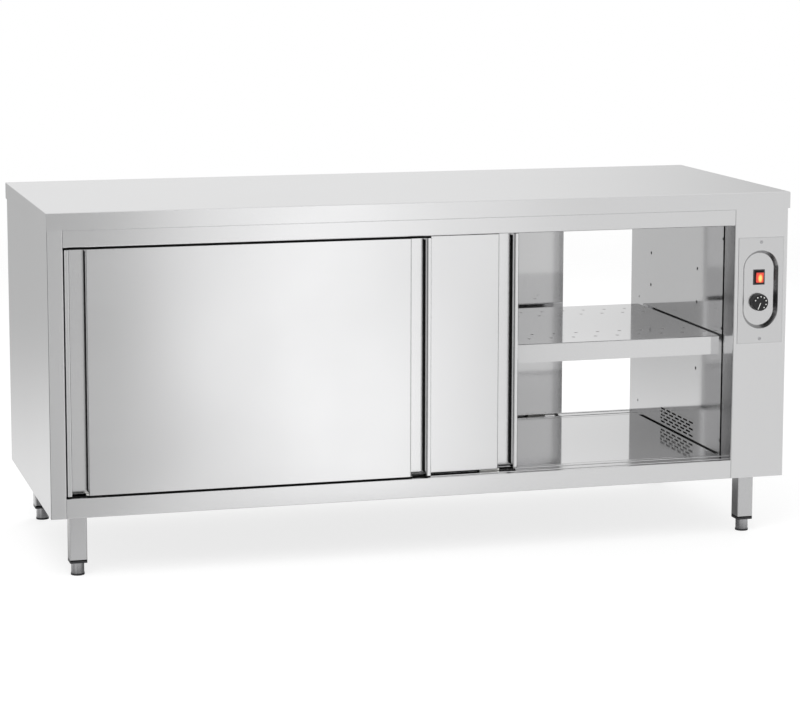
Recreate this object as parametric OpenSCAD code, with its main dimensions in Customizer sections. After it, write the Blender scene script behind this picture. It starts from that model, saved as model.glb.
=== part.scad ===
// Plate warmer cabinet: a long stainless cabinet with a worktop, two sliding doors on each
// long side, a lift-out shelf, a control column with a fan heater and four legs.
// Frame: origin on the floor under the middle of the worktop, front towards -Y, up is +Z.

/* [Cabinet] */
// Width of the worktop
cab_w = 1800; // [1400:10:2400]
// Depth of the worktop
cab_d = 700; // [600:5:900]
// Height of the worktop above the floor
cab_h = 850; // [800:5:950]
// Height of the body's underside above the floor
leg_clear = 150; // [120:5:200]

/* [Sheet metal] */
// Thickness of the outer sheet
skin_t = 1.2; // [0.8:0.1:1.5]
// Thickness of the door and liner sheet
liner_t = 1; // [0.8:0.1:1.2]
// Outside radius of a fold
bend_r = 2.4; // [2:0.1:3]

/* [Worktop] */
// Height of the worktop's edge
top_edge = 40; // [30:1:60]
// Width of the lip folded in under the edge
top_lip = 25; // [20:1:40]
// Overhang of the worktop past the body, front and rear
top_overhang = 6; // [2:0.5:15]
// Overhang of the worktop past the body, left and right
side_inset = 2; // [1:0.5:10]
// Number of stiffeners under the worktop
stiffener_n = 3; // [2:1:6]

/* [Body] */
// Width of the left stile
stile_w = 36; // [30:1:60]
// Width of the control column
column_w = 138; // [130:1:200]
// Height of the head rail that shows under the worktop
head_h = 40; // [40:1:60]
// Height of the sill under the doors
sill_h = 45; // [35:1:80]
// Width of the dark joint between jamb and inner wall
jamb_joint = 3; // [1:0.5:6]

/* [Doors] */
// Thickness of a door
door_t = 30; // [28:1:40]
// Gap between a door and the next one behind it
door_lane_gap = 3; // [2:0.5:6]
// Gap between the body's front and the outer door
door_front_gap = 2; // [1.5:0.5:4]
// Gap between a closed door and its jamb
door_side_gap = 3; // [2.5:0.5:6]
// Gap above and below a door
door_z_gap = 5; // [4.5:0.5:8]
// Overlap of the two doors of a pair when closed
door_overlap = 102; // [90:1:200]
// Width of a door's edge lip
lip_w = 11; // [8:0.5:16]
// Width of a door's finger channel
channel_w = 38; // [30:1:60]
// Radius of a door's lip and panel edges
lip_r = 3; // [2:0.5:3.5]
// Distance that the front inner door stands from the left jamb side
front_inner_shift = 225; // [0:1:300]
// Distance that the rear outer door stands from the left jamb side
rear_outer_shift = 556; // [300:1:556]

/* [Door running gear] */
// Radius of a door roller
roller_r = 12; // [10:0.5:13]
// Width of a door roller
roller_w = 8; // [6:0.5:9]
// Width of a hanger bracket
hanger_w = 20; // [16:1:40]
// Distance from a door's edge to its hanger
hanger_inset = 69; // [65:1:120]
// Thickness of a hanger bracket
hanger_t = 3; // [2:0.5:4]
// Diameter of a roller's axle
axle_d = 6; // [5:0.5:8]
// Width of the guide groove in the sill
groove_w = 8; // [7:0.5:9]
// Depth of the guide groove in the sill
groove_depth = 8; // [7:0.5:12]
// Length of a guide shoe under a door
shoe_l = 48; // [30:1:60]

/* [Shelf] */
// Height of the front and rear rim
shelf_rim = 45; // [35:1:60]
// Height of the side rims
shelf_side_rim = 20; // [15:1:30]
// Gap between the shelf and each side wall
shelf_side_gap = 7; // [6:1:16]
// Gap between the shelf and the inner doors
shelf_door_gap = 4; // [3:0.5:20]
// Height of the lowest pin hole above the compartment floor
hole_z0 = 189; // [150:1:220]
// Spacing of the pin holes
hole_pitch = 84; // [60:1:90]
// Number of pin holes in a column
hole_rows = 4; // [3:1:5]
// Row that holds the shelf, counted from 0 at the bottom
shelf_row = 1; // [0:1:2]
// Distance of the front hole column from the body's front
hole_front = 231; // [150:1:260]
// Distance of the rear hole column from the body's rear
hole_rear = 143; // [120:1:200]
// Diameter of a shelf pin
pin_d = 8; // [6:0.5:10]
// Reach of a shelf pin into the compartment
pin_reach = 24; // [20:1:30]

/* [Hot air outlet] */
// Distance of the outlet's front edge from the body's front
vent_front = 238; // [220:1:300]
// Number of slots in a row
vent_cols = 6; // [4:1:7]
// Number of rows of slots
vent_rows = 5; // [3:1:5]
// Length of a slot
slot_l = 28; // [18:1:32]
// Height of a slot
slot_h = 4.5; // [3:0.5:6]
// Spacing of the slots along a row
slot_pitch_y = 38; // [36:1:44]
// Spacing of the rows
slot_pitch_z = 8.5; // [7.5:0.5:10]

/* [Blower] */
// Radius of the blower wheel
wheel_r = 28; // [22:1:30]
// Length of the blower wheel
wheel_l = 170; // [120:1:190]
// Number of blades on the wheel
blade_n = 20; // [12:1:28]
// Diameter of the heater tube
heater_d = 6.5; // [6:0.5:8]

/* [Controls] */
// Width of the control plate
plate_w = 117; // [112:1:124]
// Height of the control plate
plate_h = 258; // [240:1:280]
// Thickness of the control plate
plate_t = 1; // [0.8:0.1:1.5]
// Distance from the body's top to the middle of the control plate
plate_drop = 199; // [170:1:300]
// Width of the oval recess
recess_w = 94.5; // [90:0.5:100]
// Height of the oval recess
recess_h = 194; // [185:1:210]
// Depth of the oval recess
recess_depth = 11; // [8:0.5:14]
// Slope of the recess wall, measured across
recess_draft = 8; // [3:0.5:9]
// Width of the switch's bezel
switch_w = 28.5; // [26:0.5:32]
// Height of the switch's bezel
switch_h = 37; // [34:0.5:42]
// Distance from the recess's middle up to the switch
switch_up = 29; // [26:1:40]
// Distance from the recess's middle down to the knob
knob_down = 32; // [28:1:45]
// Diameter of the knob
knob_d = 42; // [36:1:48]
// Height of the knob
knob_h = 14; // [10:1:18]

/* [Cable inlet] */
// Distance of the cable gland from the body's rear
gland_inset = 144; // [100:1:160]
// Bore of the cable gland
gland_bore_d = 10; // [7:0.5:12]

/* [Legs and feet] */
// Width of a leg's square tube
leg_w = 40; // [35:1:50]
// Wall of the leg's tube
leg_t = 1.5; // [1.2:0.1:3]
// Distance from the cabinet's left and right to the legs
leg_inset_x = 52.5; // [45:0.5:55]
// Distance from the body's front to the front legs
leg_inset_front = 60; // [40:1:100]
// Distance from the body's rear to the rear legs
leg_inset_rear = 12; // [12:1:100]
// Height of a foot with its pad, screwed fully in
foot_h = 30; // [24:1:40]
// Diameter of a foot
foot_d = 30; // [24:1:38]
// Diameter of the foot's threaded stem
stem_d = 10; // [8:1:12]
// Distance that a foot can be screwed out
foot_travel = 50; // [20:1:55]

/* [Hidden] */
$fn = 32;
// Overlap that joins solids of one piece, and length by which a cut runs past a face
join = 0.2;
past = 5;
// Segments in the arc of one fold
bend_n = 3;

// Body box
x_l = -cab_w / 2 + side_inset;
x_r = cab_w / 2 - side_inset;
y_f = -cab_d / 2 + top_overhang;
y_b = -y_f;
body_z0 = leg_clear;
body_z1 = cab_h - top_edge;
sill_z = body_z0 + sill_h;
head_z = body_z1 - head_h;
// Door opening between the left stile and the control column
open_x0 = x_l + stile_w;
open_x1 = x_r - column_w;
open_w = open_x1 - open_x0;
// Depth taken by the two doors of a side, and what stands behind it
lane_pitch = door_t + door_lane_gap;
lanes_d = door_front_gap + lane_pitch + door_t;
lane_margin = 2;
jamb_d = lanes_d - lane_margin;
wall_y = y_f + jamb_d + jamb_joint;
rail_margin = 5;
rail_d = lanes_d + rail_margin;
rail_y = y_f + rail_d;
// Depth of the folds that stiffen an edge
flange = 15;
jamb_fold = 16;
ceiling_z = body_z1 - flange;
// Distance that the floor and the ceiling run on under and over the side walls
tuck = 25;
weld_gap = 2;
tuck_l = min(tuck, stile_w - skin_t - weld_gap);

// Doors
door_w = (open_w - 2 * door_side_gap + door_overlap) / 2;
door_z0 = sill_z + door_z_gap;
door_z1 = head_z - door_z_gap;
door_h = door_z1 - door_z0;
door_x_left = open_x0 + door_side_gap;

// Track hung under the head rail's top flange, and the roller on its bead
track_t = 1.5;
track_room = 8;
track_h = 2 * roller_r + track_room;
track_z1 = body_z1 - skin_t;
lip_z = track_z1 - track_h + track_t;
bead_h = 2.5;
bead_w = 1.5;
roller_groove = 2.2;
groove_play = 0.3;
groove_side = 1;
groove_r = roller_r - roller_groove;
roll_gap = 0.1;
axle_z = lip_z + bead_h + roll_gap + groove_r;
// Depth places inside a lane, counted from the door's front face
roller_share = 0.59;
roller_y = door_t * roller_share;
bead_y = roller_y - bead_w / 2;
web_inset = 1.1;
web_y = door_t - web_inset;
hanger_clear = 1;
hanger_y = roller_y - roller_w / 2 - hanger_clear - hanger_t;
axle_shoulder = 3;
axle_head_d = axle_d + axle_shoulder;
axle_head_t = 1.8;
axle_end_t = 1.2;
side_play = 0.5;
fit_gap = 0.05;
hanger_edge = 5;
hanger_top = axle_d / 2 + hanger_edge;
foot_plate_inset = 4;
foot_plate_d = door_t - hanger_y - foot_plate_inset;

// Guide shoe in the sill's groove
shoe_y = door_t / 2;
shoe_edge = 4;
shoe_clear = 0.8;
tongue_play = 1.5;
tongue_inset = 2;
shoe_w = door_t - 2 * shoe_edge;
shoe_h = door_z_gap - shoe_clear;
tongue_w = groove_w - 2 * tongue_play;
tongue_h = groove_depth - tongue_play;

// Shelf
shelf_x0 = open_x0 + shelf_side_gap;
shelf_x1 = open_x1 - shelf_side_gap;
shelf_y = y_f + lanes_d + shelf_door_gap;
pin_z = sill_z + hole_z0 + shelf_row * hole_pitch;
shelf_z = pin_z + pin_d / 2 + shelf_side_rim;
pin_collar_w = 2.5;
pin_collar_d = pin_d + 2 * pin_collar_w;
pin_collar_t = 2;
pin_tail = 9;
hole_gap = 0.2;
hole_ys = [y_f + hole_front, y_b - hole_rear];

// Slotted plate of the hot air outlet
vent_edge = 8;
vent_y0 = y_f + vent_front;
vent_rim = 4;
vent_lift = 3;
vent_foot = 2;
vent_w = (vent_cols - 0.5) * slot_pitch_y + 2 * vent_edge;
vent_h = vent_rows * slot_pitch_z + 2 * vent_rim;
vent_z0 = sill_z + vent_lift;
vent_mid = vent_y0 + vent_w / 2;
vent_frame = 6;
vent_gap = 0.2;
// Long air return slot beside the right wall
return_w = 6;
return_margin = 90;
return_l = cab_d - 2 * return_margin;

// Screw heads along the inner walls
screw_d = 8;
screw_h = 1.5;
screw_low = 35;
screw_mid = 27;
screw_high = 40;
screw_zs = [sill_z + screw_low, (sill_z + head_z) / 2 + screw_mid, head_z - screw_high];

// Blower, its wheel's axis along Y
wheel_share = 0.52;
wheel_lift = 14;
scroll_gap = 8;
wheel_x = open_x1 + wheel_share * column_w;
wheel_z = vent_z0 + vent_h + wheel_lift;
scroll_r = wheel_r + scroll_gap;
scroll_t = 1;
scroll_n = 14;
duct_gap = 3;
duct_inset = 1;
duct_x = open_x1 + liner_t + duct_gap;
duct_z0 = vent_z0 + duct_inset;
duct_z1 = vent_z0 + vent_h - duct_inset;
end_plate_t = 1.5;
shaft_d = 6;
motor_d = 56;
motor_l = 44;

// Controls
column_x = (open_x1 + x_r) / 2;
plate_z = body_z1 - plate_drop;
recess_lift = 2;
recess_z = plate_z + recess_lift;
switch_z = recess_z + switch_up;
knob_z = recess_z - knob_down;
recess_floor_y = y_f - plate_t + recess_depth;
window_gap = 1;
bezel_t = 2.4;
bezel_rim = 2.6;
rocker_gap = 0.4;
rocker_tilt = 10;
switch_body_d = 24;
thermo_w = 38;
thermo_d = 24;
spindle_d = 6;
spindle_l = 14;
spindle_end = 2;
bush_t = 0.8;
knob_edge = 2.5;
knob_taper = 1;
knob_gap = 1;

// Cable inlet in the base panel, behind the blower
gland_y = y_b - gland_inset;
gland_thread_d = 20;
gland_hex = 24;
gland_nut = 5;
gland_round = 4;
gland_reach = 18;
gland_tail = 12;

// Feet
pad_h = 4.5;
pad_gap = 0.1;
cap_h = 5;
plug_h = 24;
plug_corner_r = 2;
pad_edge = 1;
stem_end = 4;
plug_gap = 0.3;
foot_gap = 0.3;
leg_end_t = 3;
stem_top = foot_h + plug_h + foot_travel + stem_end;

steel = [0.80, 0.80, 0.81];
liner = [0.66, 0.66, 0.68];
nylon = [0.90, 0.90, 0.88];
black = [0.08, 0.08, 0.09];
zinc = [0.62, 0.63, 0.65];
copper = [0.70, 0.42, 0.26];

// Folded sheet: a path along the outer face, with the sheet to the left of its direction
function unit(v) = v / norm(v);
function left_of(v) = [-v[1], v[0]];
function turn(a) = a > 180 ? a - 360 : a < -180 ? a + 360 : a;
function angle_of(v) = atan2(v[1], v[0]);
function fold_arc(p, i, r) =
    let (
        a = unit(p[i - 1] - p[i]),
        b = unit(p[i + 1] - p[i]),
        half = acos(a * b) / 2,
        c = p[i] + unit(a + b) * r / sin(half),
        s = p[i] + a * r / tan(half),
        e = p[i] + b * r / tan(half),
        a0 = angle_of(s - c),
        sweep = turn(angle_of(e - c) - a0)
    )
    [for (k = [0:bend_n]) c + r * [cos(a0 + sweep * k / bend_n), sin(a0 + sweep * k / bend_n)]];
function bent(p, r) = r == 0 ? p : [
    p[0],
    for (i = [1:1:len(p) - 2]) each fold_arc(p, i, r),
    p[len(p) - 1]
];
function offset_point(p, i, t) =
    let (
        n = len(p),
        a = left_of(unit(i > 0 ? p[i] - p[i - 1] : p[1] - p[0])),
        b = left_of(unit(i < n - 1 ? p[i + 1] - p[i] : p[n - 1] - p[n - 2]))
    )
    p[i] + t * (a + b) / (1 + a * b);
function sheet_outline(p, t) = concat(p, [for (i = [len(p) - 1:-1:0]) offset_point(p, i, t)]);

// Sheet standing up from the plan path p
module sheet_up(p, t, z0, z1, r = bend_r)
    translate([0, 0, z0]) linear_extrude(z1 - z0) polygon(sheet_outline(bent(p, r), t));
// Sheet running along X, its path given as depth and height
module sheet_along_x(p, t, x0, x1, r = bend_r)
    translate([x0, 0, 0]) rotate([90, 0, 90]) linear_extrude(x1 - x0)
        polygon(sheet_outline(bent(p, r), t));
// Sheet running along Y, its path given as width and height
module sheet_along_y(p, t, y0, y1, r = bend_r)
    translate([0, y1, 0]) rotate([90, 0, 0]) linear_extrude(y1 - y0)
        polygon(sheet_outline(bent(p, r), t));
// Box between two corners
module box(a, b) translate(a) cube(b - a);
// Cylinder along Y from y0 to y1
module rod_y(x, z, d, y0, y1) translate([x, y1, z]) rotate([90, 0, 0]) cylinder(d = d, h = y1 - y0);
// Cylinder along X from x0 to x1
module rod_x(y, z, d, x0, x1) translate([x0, y, z]) rotate([0, 90, 0]) cylinder(d = d, h = x1 - x0);
// Rear pieces are mirror images of the front ones
module at_rear() mirror([0, 1, 0]) children();
// Flat outline of an upright slot with round ends
module stadium(w, h) {
    square([w, h - w], center = true);
    for (s = [-1, 1]) translate([0, s * (h - w) / 2]) circle(d = w, $fn = 64);
}
// Square with round corners
module round_square(w, r) {
    square([w, w - 2 * r], center = true);
    square([w - 2 * r, w], center = true);
    for (x = [-1, 1], y = [-1, 1]) translate([x * (w / 2 - r), y * (w / 2 - r)]) circle(r);
}

// Worktop: a tray folded down on all four sides, with rounded upper edges
module edge_profile(w, h, r) {
    translate([-w / 2, -h]) square([w, h - r]);
    translate([-w / 2 + r, -r - join]) square([w - 2 * r, r + join]);
    for (s = [-1, 1]) translate([s * (w / 2 - r), -r]) circle(r);
}
module tray_block(w, d, h, r) intersection() {
    translate([-w / 2, 0, 0]) rotate([90, 0, 90]) linear_extrude(w) edge_profile(d, h, r);
    translate([0, d / 2, 0]) rotate([90, 0, 0]) linear_extrude(d) edge_profile(w, h, r);
}
module worktop() color(steel) translate([0, 0, cab_h]) {
    difference() {
        tray_block(cab_w, cab_d, top_edge, bend_r);
        translate([0, 0, -skin_t])
            tray_block(cab_w - 2 * skin_t, cab_d - 2 * skin_t, top_edge, bend_r - skin_t);
    }
    translate([0, 0, -top_edge]) linear_extrude(skin_t) difference() {
        square([cab_w - skin_t, cab_d - skin_t], center = true);
        square([cab_w - 2 * top_lip, cab_d - 2 * top_lip], center = true);
    }
}

// Hat section seen along its length, flanges on top at height 0
function hat_path(crown, top, fl, h, t) = [
    [-top / 2 - fl, -t], [-top / 2, -t], [-crown / 2, -h], [crown / 2, -h], [top / 2, -t], [top / 2 + fl, -t]
];
hat_crown = 60;
hat_top = 80;
hat_flange = 18;
module worktop_stiffeners() color(liner)
    for (i = [0:stiffener_n - 1])
        translate([(i - (stiffener_n - 1) / 2) * cab_w / stiffener_n, 0, cab_h - skin_t])
            sheet_along_y(hat_path(hat_crown, hat_top, hat_flange, top_edge - 2 * skin_t, liner_t), liner_t,
                -cab_d / 2 + skin_t + weld_gap, cab_d / 2 - skin_t - weld_gap);

// Left side: outer panel, both stiles and their jambs, folded from one sheet
side_fold = min(jamb_fold, stile_w - 2 * skin_t - 2 * weld_gap);
top_flange_gap = 8;
module side_panel_left() color(steel) {
    sheet_up([
        [open_x0 - side_fold, y_b - jamb_d], [open_x0, y_b - jamb_d], [open_x0, y_b], [x_l, y_b],
        [x_l, y_f], [open_x0, y_f], [open_x0, y_f + jamb_d], [open_x0 - side_fold, y_f + jamb_d]
    ], skin_t, body_z0, body_z1);
    box([x_l + skin_t - join, y_f + skin_t + weld_gap, body_z1 - skin_t],
        [open_x0 - top_flange_gap, y_b - skin_t - weld_gap, body_z1]);
}

// Holes for the shelf pins in a wall that stands at x
module pin_holes(x)
    for (y = hole_ys, row = [0:hole_rows - 1])
        rod_x(y, sill_z + hole_z0 + row * hole_pitch, pin_d + 2 * hole_gap, x - past, x + past);

module inner_wall_left() color(liner) difference() {
    sheet_up([
        [open_x0 - side_fold, wall_y], [open_x0, wall_y], [open_x0, -wall_y], [open_x0 - side_fold, -wall_y]
    ], liner_t, sill_z, ceiling_z);
    pin_holes(open_x0);
}

module inner_wall_right() color(liner) difference() {
    sheet_up([
        [open_x1, y_b - skin_t], [open_x1, wall_y], [open_x1 + jamb_fold, wall_y]
    ], liner_t, sill_z, ceiling_z);
    pin_holes(open_x1);
    box([open_x1 - past, vent_y0, vent_z0], [open_x1 + past, vent_y0 + vent_w, vent_z0 + vent_h]);
}

// Slotted outlet plate: its field fills the window in the wall, its frame lies behind the wall
module slot_outline() {
    square([slot_l - slot_h, slot_h], center = true);
    for (s = [-1, 1]) translate([s * (slot_l - slot_h) / 2, 0]) circle(d = slot_h, $fn = 16);
}
module slot_field() linear_extrude(2 * past) for (row = [0:vent_rows - 1], col = [0:vent_cols - 1])
    translate([
        vent_edge + (col + 0.25 + 0.5 * (row % 2)) * slot_pitch_y,
        vent_rim + (row + 0.5) * slot_pitch_z
    ]) slot_outline();
module vent_grille() color(liner) difference() {
    union() {
        box([open_x1, vent_y0 + vent_gap, vent_z0 + vent_gap],
            [open_x1 + liner_t + join, vent_y0 + vent_w - vent_gap, vent_z0 + vent_h - vent_gap]);
        box([open_x1 + liner_t, vent_y0 - vent_frame, vent_z0 - vent_foot],
            [open_x1 + 2 * liner_t, vent_y0 + vent_w + vent_frame, vent_z0 + vent_h + vent_frame]);
    }
    translate([open_x1 - past, vent_y0, vent_z0]) rotate([90, 0, 90]) slot_field();
}

// Control column: front and rear halves, with the side cover lapped on their joggled edges
cover_edge = 20;
cover_lap = 20;
cover_weld = 3;
module column_half(jamb_x) {
    sheet_up([
        [jamb_x + jamb_fold, y_f + jamb_d], [jamb_x, y_f + jamb_d], [jamb_x, y_f], [x_r, y_f],
        [x_r, y_f + cover_edge]
    ], skin_t, body_z0, body_z1);
    box([x_r - 2 * skin_t, y_f + cover_edge - cover_weld, body_z0],
        [x_r - skin_t, y_f + cover_edge + cover_lap, body_z1]);
    box([jamb_x + skin_t + weld_gap, y_f + skin_t - join, body_z1 - skin_t],
        [x_r - skin_t - weld_gap, y_f + rail_d, body_z1]);
}
module column_front() color(steel) difference() {
    column_half(open_x1);
    translate([column_x, y_f + past, recess_z]) rotate([90, 0, 0]) linear_extrude(2 * past)
        stadium(recess_w + 2 * window_gap, recess_h + 2 * window_gap);
}
module column_rear() color(steel) at_rear() column_half(open_x1 + liner_t);
module side_panel_right() color(steel)
    box([x_r - skin_t, y_f + cover_edge + hole_gap, body_z0], [x_r, y_b - cover_edge - hole_gap, body_z1]);

// Head rail: channel that the worktop rests on, with the track inside
head_return = 7;
module head_rail(x1) sheet_along_x([
    [rail_y, ceiling_z], [rail_y, body_z1], [y_f, body_z1], [y_f, head_z], [y_f + head_return, head_z]
], skin_t, open_x0, x1);
module head_rail_front() color(steel) head_rail(open_x1);
module head_rail_rear() color(steel) at_rear() head_rail(open_x1);

// Sill: folded channel with one guide groove for each door
function lane_y(lane) = y_f + door_front_gap + lane * lane_pitch;
function groove_points(lane) =
    let (y = lane_y(lane) + shoe_y, w = groove_w / 2)
    [[y + w, sill_z], [y + w, sill_z - groove_depth], [y - w, sill_z - groove_depth], [y - w, sill_z]];
sill_bend = 1.3;
inner_bend = 0.1;
least_bend = skin_t + inner_bend;
module sill(x1) sheet_along_x([
    [rail_y, sill_z - flange - groove_depth], [rail_y, sill_z],
    each groove_points(1), each groove_points(0),
    [y_f, sill_z], [y_f, body_z0], [y_f + flange, body_z0]
], skin_t, open_x0, x1, max(sill_bend, least_bend));
module sill_front() color(steel) sill(open_x1);
module sill_rear() color(steel) at_rear() sill(open_x1 + liner_t);

// Track: one hooked rail for each door, hung from a common top plate
track_bend = track_t + 2 * inner_bend;
module track_hook(lane) {
    y0 = lane_y(lane) + bead_y;
    y1 = lane_y(lane) + web_y;
    sheet_along_x([
        [y0, lip_z + bead_h], [y0, lip_z - track_t], [y1, lip_z - track_t], [y1, track_z1 - track_t / 2]
    ], track_t, open_x0, open_x1, track_bend);
}
module track() {
    track_hook(0);
    track_hook(1);
    box([open_x0, y_f + bend_r + weld_gap, track_z1 - track_t],
        [open_x1, rail_y - bend_r - weld_gap, track_z1]);
}
module door_tracks() color(zinc) {
    track();
    at_rear() track();
}

// Floor of the compartment, with the air return slot along the right wall
module floor_panel() color(liner) difference() {
    sheet_along_x([
        [-rail_y, sill_z - flange], [-rail_y, sill_z], [rail_y, sill_z], [rail_y, sill_z - flange]
    ], skin_t, open_x0 - tuck_l, open_x1 + tuck);
    box([open_x1 - return_w, -return_l / 2, sill_z - past], [open_x1, return_l / 2, sill_z + past]);
}
// Underside of the body, its edges joggled up onto the sills
base_gap = 1;
joggle = 3;
notch_gap = 0.4;
module jamb_notch(x0, x1)
    box([x0 - notch_gap, y_f - past, body_z0 - past],
        [x1 + notch_gap, y_f + jamb_d + notch_gap, body_z0 + past]);
module base_panel() color(steel) difference() {
    sheet_along_x([
        [y_f + skin_t + base_gap, body_z0 + skin_t], [y_f + flange + base_gap, body_z0 + skin_t],
        [y_f + flange + base_gap + joggle, body_z0], [y_b - flange - base_gap - joggle, body_z0],
        [y_b - flange - base_gap, body_z0 + skin_t], [y_b - skin_t - base_gap, body_z0 + skin_t]
    ], skin_t, x_l + skin_t + base_gap, x_r - 2 * skin_t - base_gap, 0);
    translate([column_x, gland_y, body_z0])
        cylinder(d = gland_thread_d + 2 * hole_gap, h = 2 * past, center = true);
    for (s = [0, 1]) mirror([0, s, 0]) {
        jamb_notch(open_x0 - side_fold, open_x0);
        jamb_notch(open_x1, open_x1 + liner_t + jamb_fold);
    }
}
// Ceiling over the compartment, lying on the side walls between the head rails
module ceiling_panel() color(liner) sheet_along_x([
    [rail_y, body_z1 - weld_gap], [rail_y, ceiling_z], [-rail_y, ceiling_z], [-rail_y, body_z1 - weld_gap]
], liner_t, open_x0 - tuck_l, open_x1 + tuck);

// Shelf pins: a collar against the wall and a round-ended reach under the shelf's side rim
module shelf_pin(x, y, s) translate([x, y, pin_z]) rotate([0, s * 90, 0]) {
    translate([0, 0, -pin_tail]) cylinder(d = pin_d, h = pin_tail + pin_reach);
    cylinder(d = pin_collar_d, h = pin_collar_t);
    translate([0, 0, pin_reach]) sphere(d = pin_d);
}
module shelf_pins() color(zinc) for (y = hole_ys) {
    shelf_pin(open_x0, y, 1);
    shelf_pin(open_x1, y, -1);
}

// Dome screws: inner walls, control plate and side cover
module dome(d, h) intersection() {
    translate([0, 0, h - (d * d / 4 + h * h) / (2 * h)]) sphere(r = (d * d / 4 + h * h) / (2 * h));
    cylinder(d = d, h = h);
}
wall_screw_in = 6;
wall_screw_ys = [wall_y + wall_screw_in, y_b - jamb_d + lane_margin];
plate_screw_d = 7;
plate_screw_in = 11;
plate_screw_z = plate_h / 2 - plate_screw_in;
cover_screw_in = 60;
cover_screw_z = [body_z0 + cover_screw_in, (body_z0 + body_z1) / 2, body_z1 - cover_screw_in];
module panel_screws() color(zinc) {
    for (z = screw_zs, y = wall_screw_ys) translate([open_x1, y, z]) rotate([0, -90, 0]) dome(screw_d, screw_h);
    for (z = screw_zs, s = [-1, 1])
        translate([open_x0, s * (wall_y + wall_screw_in), z]) rotate([0, 90, 0]) dome(screw_d, screw_h);
    for (s = [-1, 1]) translate([column_x, y_f - plate_t, plate_z + s * plate_screw_z])
        rotate([90, 0, 0]) dome(plate_screw_d, screw_h);
    for (z = cover_screw_z, s = [-1, 1])
        translate([x_r, s * (y_b - cover_edge - cover_lap / 2), z]) rotate([0, 90, 0]) dome(screw_d, screw_h);
}

// Legs: square tube with a closed top, a plastic cap below and a screw foot
leg_x = cab_w / 2 - leg_inset_x - leg_w / 2;
leg_y_front = y_f + leg_inset_front + leg_w / 2;
leg_y_rear = y_b - leg_inset_rear - leg_w / 2;
leg_corner_r = 3;
leg_places = [[-leg_x, leg_y_front], [leg_x, leg_y_front], [-leg_x, leg_y_rear], [leg_x, leg_y_rear]];
module leg(place) translate(place) {
    translate([0, 0, foot_h + cap_h]) linear_extrude(body_z0 - foot_h - cap_h) difference() {
        round_square(leg_w, leg_corner_r);
        round_square(leg_w - 2 * leg_t, plug_corner_r);
    }
    translate([0, 0, body_z0 - leg_end_t]) linear_extrude(leg_end_t) round_square(leg_w - leg_t, leg_corner_r);
}
module leg_front_left() color(steel) leg(leg_places[0]);
module leg_front_right() color(steel) leg(leg_places[1]);
module leg_rear_left() color(steel) leg(leg_places[2]);
module leg_rear_right() color(steel) leg(leg_places[3]);
module leg_cap() difference() {
    union() {
        translate([0, 0, foot_h]) linear_extrude(cap_h) round_square(leg_w, leg_corner_r);
        translate([0, 0, foot_h + cap_h - join]) linear_extrude(plug_h)
            round_square(leg_w - 2 * leg_t - 2 * plug_gap, plug_corner_r);
    }
    translate([0, 0, foot_h - past]) cylinder(d = stem_d + 2 * fit_gap, h = cap_h + plug_h + 2 * past);
}
module leg_caps() color(black) for (place = leg_places) translate(place) leg_cap();
module foot(place) translate(place) {
    color(zinc) {
        translate([0, 0, pad_h]) cylinder(d = foot_d, h = foot_h - foot_gap - pad_h);
        translate([0, 0, pad_h]) cylinder(d = stem_d, h = stem_top - pad_h);
    }
    color(black) cylinder(d = foot_d + 2 * pad_edge, h = pad_h - pad_gap);
}

// Control plate with its oval dish, pressed from one sheet
module dish(grow, depth) translate([column_x, y_f - plate_t, recess_z]) rotate([-90, 0, 0]) {
    w = recess_w - 2 * grow;
    draft = recess_draft * depth / recess_depth;
    for (s = [-1, 1]) translate([0, s * (recess_h - recess_w) / 2, 0])
        cylinder(r1 = w / 2, r2 = w / 2 - draft, h = depth, $fn = 64);
    translate([0, (recess_h - recess_w) / 2, 0]) rotate([90, 0, 0]) linear_extrude(recess_h - recess_w)
        polygon([[-w / 2, 0], [w / 2, 0], [w / 2 - draft, depth], [draft - w / 2, depth]]);
}
module control_plate() color(steel) difference() {
    union() {
        box([column_x - plate_w / 2, y_f - plate_t, plate_z - plate_h / 2],
            [column_x + plate_w / 2, y_f, plate_z + plate_h / 2]);
        dish(0, recess_depth + plate_t);
    }
    translate([0, -join, 0]) dish(plate_t, recess_depth + join);
    translate([column_x, recess_floor_y, knob_z]) rotate([-90, 0, 0])
        cylinder(d = spindle_d + 2 * window_gap, h = 4 * past, center = true);
    box([column_x - switch_w / 2 + bezel_rim, recess_floor_y - past, switch_z - switch_h / 2 + bezel_rim],
        [column_x + switch_w / 2 - bezel_rim, recess_floor_y + past, switch_z + switch_h / 2 - bezel_rim]);
}

// Rocker switch: bezel and body in one moulding, with the pocket that the rocker tilts in
pocket_wall = 0.8;
pocket_back = 4;
pocket_end = 1;
rocker_w = switch_w - 2 * (bezel_rim + rocker_gap + pocket_wall);
rocker_l = switch_h - 2 * (bezel_rim + rocker_gap + pocket_end) - pocket_end;
rocker_in = 3;
rocker_y = recess_floor_y + rocker_in;
rocker_front = 11;
rocker_back = 2;
rocker_edge = 0.6;
module switch_bezel() color(black) difference() {
    union() {
        box([column_x - switch_w / 2, recess_floor_y - bezel_t, switch_z - switch_h / 2],
            [column_x + switch_w / 2, recess_floor_y, switch_z + switch_h / 2]);
        box([column_x - switch_w / 2 + bezel_rim + hole_gap, recess_floor_y - join,
                switch_z - switch_h / 2 + bezel_rim + hole_gap],
            [column_x + switch_w / 2 - bezel_rim - hole_gap, recess_floor_y + switch_body_d,
                switch_z + switch_h / 2 - bezel_rim - hole_gap]);
    }
    box([column_x - rocker_w / 2 - rocker_gap, recess_floor_y - past, switch_z - rocker_l / 2 - pocket_end],
        [column_x + rocker_w / 2 + rocker_gap, recess_floor_y + switch_body_d - pocket_back,
            switch_z + rocker_l / 2 + pocket_end]);
}
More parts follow.
